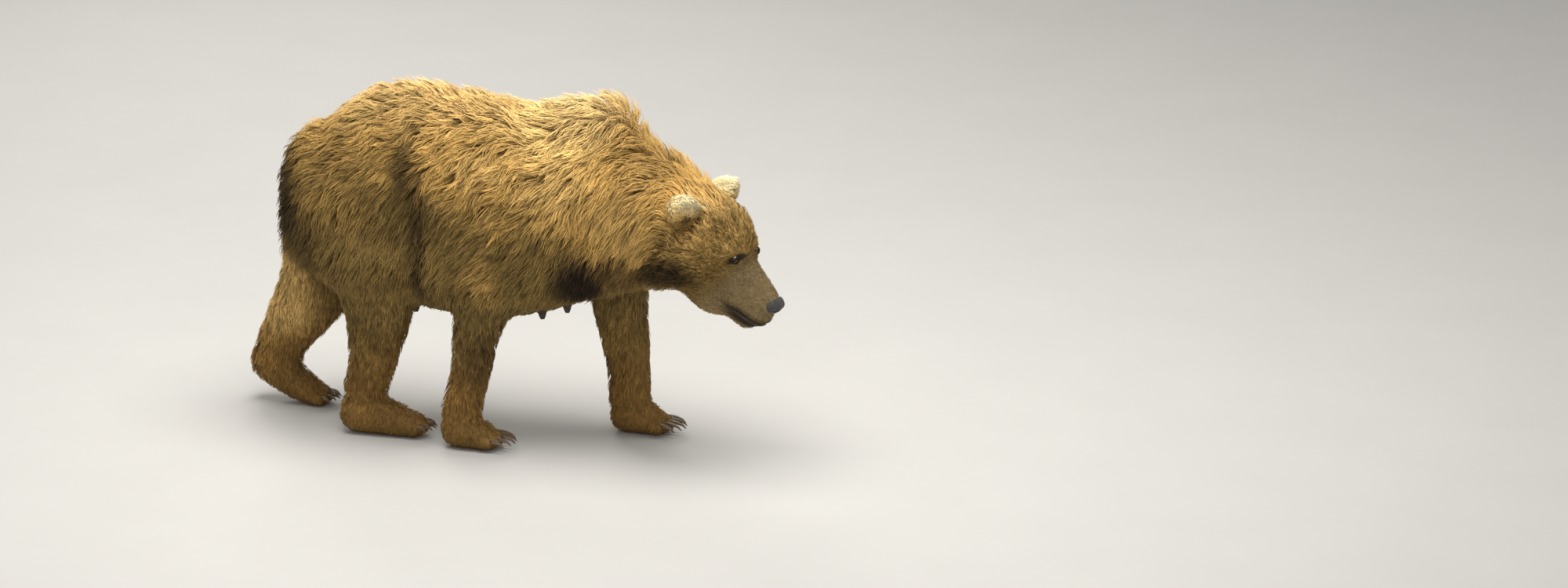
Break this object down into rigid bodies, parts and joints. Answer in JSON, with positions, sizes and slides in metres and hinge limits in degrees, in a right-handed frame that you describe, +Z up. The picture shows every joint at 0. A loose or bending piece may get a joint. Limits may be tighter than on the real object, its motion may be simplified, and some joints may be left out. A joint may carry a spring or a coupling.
{
  "type": "grizzly bear",
  "caption": "Life-size grizzly bear in a long shaggy coat, walking with its head low, standing on four flat soles.",
  "frame": {"origin": "on the floor under the middle of the bear's box", "axes": "+X the way the bear walks, +Y its left side, +Z up"},
  "size_m": [1.7654, 0.5324, 1.0714],
  "materials": {
    "golden_fur": "long wavy golden-tan coat, matt",
    "brown_fur": "shorter brown coat of legs, flanks and muzzle, matt",
    "pale_fur": "short cream fur of the ears, matt",
    "dark_fur": "dark brown hair of the tail, matt",
    "nose_leather": "bare black nose skin, damp and finely grained",
    "eye": "dark brown eye, wet gloss",
    "claw": "horn, dark brown at the root and paler at the tip"
  },
  "bodies": {
    "root": {"barrel": "golden_fur", "claw_fore_left_1": "claw", "claw_fore_left_2": "claw", "claw_fore_left_3": "claw", "claw_fore_left_4": "claw", "claw_fore_left_5": "claw", "claw_fore_right_1": "claw", "claw_fore_right_2": "claw", "claw_fore_right_3": "claw", "claw_fore_right_4": "claw", "claw_fore_right_5": "claw", "claw_hind_left_1": "claw", "claw_hind_left_2": "claw", "claw_hind_left_3": "claw", "claw_hind_left_4": "claw", "claw_hind_left_5": "claw", "claw_hind_right_1": "claw", "claw_hind_right_2": "claw", "claw_hind_right_3": "claw", "claw_hind_right_4": "claw", "claw_hind_right_5": "claw", "ear_left": "pale_fur", "ear_right": "pale_fur", "eye_left": "eye", "eye_right": "eye", "forequarters": "golden_fur", "head": "golden_fur", "hindquarters": "golden_fur", "lower_jaw": "brown_fur", "lower_leg_fore_left": "brown_fur", "lower_leg_fore_right": "brown_fur", "lower_leg_hind_left": "brown_fur", "lower_leg_hind_right": "brown_fur", "muzzle": "brown_fur", "neck": "golden_fur", "nose": "nose_leather", "paw_fore_left": "brown_fur", "paw_fore_right": "brown_fur", "paw_hind_left": "brown_fur", "paw_hind_right": "brown_fur", "tail": "dark_fur", "upper_leg_fore_left": "brown_fur", "upper_leg_fore_right": "brown_fur", "upper_leg_hind_left": "brown_fur", "upper_leg_hind_right": "brown_fur"}
  },
  "joints": []
}
